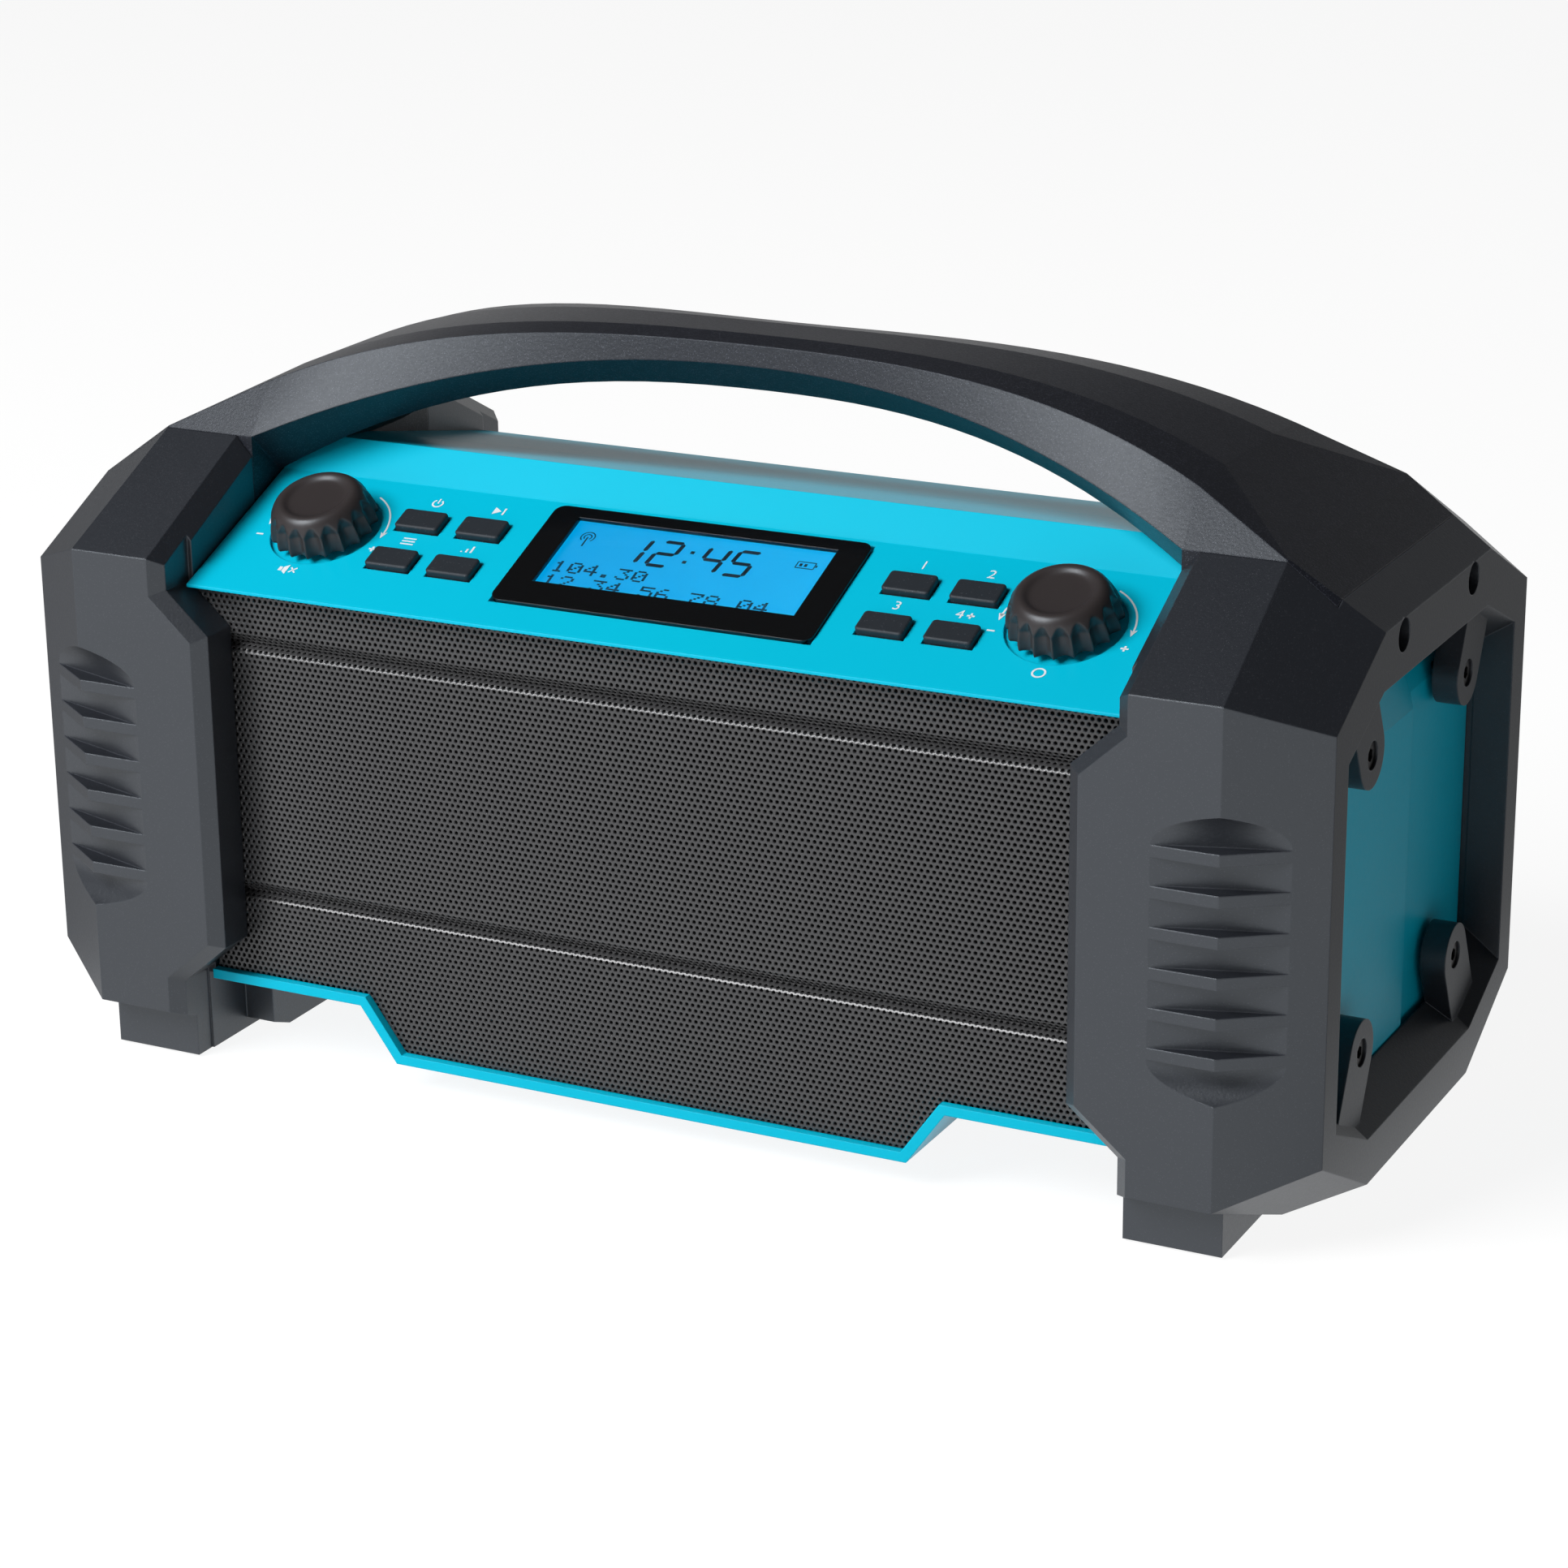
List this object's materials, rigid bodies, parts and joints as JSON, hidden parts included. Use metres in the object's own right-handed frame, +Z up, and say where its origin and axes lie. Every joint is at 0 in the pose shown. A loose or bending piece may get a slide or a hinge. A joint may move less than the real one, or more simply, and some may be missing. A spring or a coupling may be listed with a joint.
{
  "type": "jobsite radio",
  "caption": "Rugged box radio with thick faceted corner bumpers, an arched carry handle, a sloped control panel with knobs and buttons, and a wide front grille.",
  "frame": {"origin": "on the ground, under the middle of the radio", "axes": "+Z up, front faces -Y, X along the long side"},
  "size_m": [0.32, 0.155, 0.1728],
  "materials": {
    "bumper_rubber": "fine matt grain with a faint sparkle",
    "handle_plastic": "matt grain, glossier on top",
    "teal_shell": "satin gloss",
    "grille_metal": "dark powder coat",
    "bezel_black": "gloss",
    "clear_lens": "clear",
    "lcd_blue": "lit blue",
    "board_green": "solder mask",
    "switch_black": "moulded",
    "button_rubber": "soft touch",
    "knob_rubber": "soft touch",
    "steel": "zinc plated",
    "black_screw": "blackened",
    "speaker_paper": "coated paper",
    "foam_black": "closed-cell foam",
    "magnet_steel": "ferrite",
    "cell_wrap": "heat-shrink sleeve",
    "tray_plastic": "moulded",
    "pad_rubber": "soft",
    "chrome": "polished",
    "socket_black": "moulded",
    "cover_rubber": "soft"
  },
  "bodies": {
    "chassis": {"left_bumper": "bumper_rubber", "right_bumper": "bumper_rubber", "carry_handle": "handle_plastic", "front_housing": "teal_shell", "rear_housing": "teal_shell", "speaker_grille": "grille_metal", "display_bezel": "bezel_black", "display_lens": "clear_lens", "lcd_module": "lcd_blue", "control_board": "board_green", "tact_switches": "switch_black", "main_board": "board_green", "volume_encoder": "steel", "tuning_encoder": "steel", "left_speaker_basket": "steel", "left_speaker_cone": "speaker_paper", "left_speaker_magnet": "magnet_steel", "right_speaker_basket": "steel", "right_speaker_cone": "speaker_paper", "right_speaker_magnet": "magnet_steel", "speaker_gaskets": "foam_black", "battery_cells": "cell_wrap", "battery_tray": "tray_plastic", "battery_door": "tray_plastic", "bumper_screws": "black_screw", "handle_screws": "black_screw", "housing_screws": "steel", "door_screws": "steel", "foot_pads": "pad_rubber", "dc_socket": "socket_black", "aux_socket": "socket_black", "antenna_pivot_screw": "chrome", "antenna_rest": "switch_black"},
    "power_button": {"power_button": "button_rubber"},
    "mode_button": {"mode_button": "button_rubber"},
    "menu_button": {"menu_button": "button_rubber"},
    "tone_button": {"tone_button": "button_rubber"},
    "preset_1_button": {"preset_1_button": "button_rubber"},
    "preset_2_button": {"preset_2_button": "button_rubber"},
    "preset_3_button": {"preset_3_button": "button_rubber"},
    "preset_4_button": {"preset_4_button": "button_rubber"},
    "volume_push": {"volume_switch_plunger": "socket_black"},
    "volume_dial": {"volume_knob": "knob_rubber", "volume_shaft": "steel"},
    "tuning_push": {"tuning_switch_plunger": "socket_black"},
    "tuning_dial": {"tuning_knob": "knob_rubber", "tuning_shaft": "steel"},
    "socket_cover": {"socket_cover": "cover_rubber"},
    "antenna": {"antenna_knuckle": "switch_black", "antenna_rod": "cover_rubber", "antenna_cap": "switch_black"}
  },
  "joints": [
    {"name": "power_button_press", "type": "slide", "parent": "chassis", "child": "power_button", "axis": [0, 0.3843, -0.9232], "range_m": [0, 0.001], "stiffness_N_per_m": 400, "springref_m": -0.0005},
    {"name": "mode_button_press", "type": "slide", "parent": "chassis", "child": "mode_button", "axis": [0, 0.3843, -0.9232], "range_m": [0, 0.001], "stiffness_N_per_m": 400, "springref_m": -0.0005},
    {"name": "menu_button_press", "type": "slide", "parent": "chassis", "child": "menu_button", "axis": [0, 0.3843, -0.9232], "range_m": [0, 0.001], "stiffness_N_per_m": 400, "springref_m": -0.0005},
    {"name": "tone_button_press", "type": "slide", "parent": "chassis", "child": "tone_button", "axis": [0, 0.3843, -0.9232], "range_m": [0, 0.001], "stiffness_N_per_m": 400, "springref_m": -0.0005},
    {"name": "preset_1_button_press", "type": "slide", "parent": "chassis", "child": "preset_1_button", "axis": [0, 0.3843, -0.9232], "range_m": [0, 0.001], "stiffness_N_per_m": 400, "springref_m": -0.0005},
    {"name": "preset_2_button_press", "type": "slide", "parent": "chassis", "child": "preset_2_button", "axis": [0, 0.3843, -0.9232], "range_m": [0, 0.001], "stiffness_N_per_m": 400, "springref_m": -0.0005},
    {"name": "preset_3_button_press", "type": "slide", "parent": "chassis", "child": "preset_3_button", "axis": [0, 0.3843, -0.9232], "range_m": [0, 0.001], "stiffness_N_per_m": 400, "springref_m": -0.0005},
    {"name": "preset_4_button_press", "type": "slide", "parent": "chassis", "child": "preset_4_button", "axis": [0, 0.3843, -0.9232], "range_m": [0, 0.001], "stiffness_N_per_m": 400, "springref_m": -0.0005},
    {"name": "volume_push", "type": "slide", "parent": "chassis", "child": "volume_push", "axis": [0, 0.3843, -0.9232], "range_m": [0, 0.001], "stiffness_N_per_m": 1500, "springref_m": -0.0008},
    {"name": "volume_turn", "type": "hinge", "parent": "volume_push", "child": "volume_dial", "pos_m": [-0.0925, -0.04583, 0.12935], "axis": [0, -0.3843, 0.9232], "continuous": true},
    {"name": "tuning_push", "type": "slide", "parent": "chassis", "child": "tuning_push", "axis": [0, 0.3843, -0.9232], "range_m": [0, 0.001], "stiffness_N_per_m": 1500, "springref_m": -0.0008},
    {"name": "tuning_turn", "type": "hinge", "parent": "tuning_push", "child": "tuning_dial", "pos_m": [0.0925, -0.04583, 0.12935], "axis": [0, -0.3843, 0.9232], "continuous": true},
    {"name": "socket_cover_hinge", "type": "hinge", "parent": "chassis", "child": "socket_cover", "pos_m": [0.09396, 0.0669, 0.054], "axis": [0, 0, -1], "range_deg": [0, 100]},
    {"name": "antenna_raise", "type": "hinge", "parent": "chassis", "child": "antenna", "pos_m": [-0.096, 0.0706, 0.112], "axis": [0, -1, 0], "range_deg": [0, 90]}
  ]
}
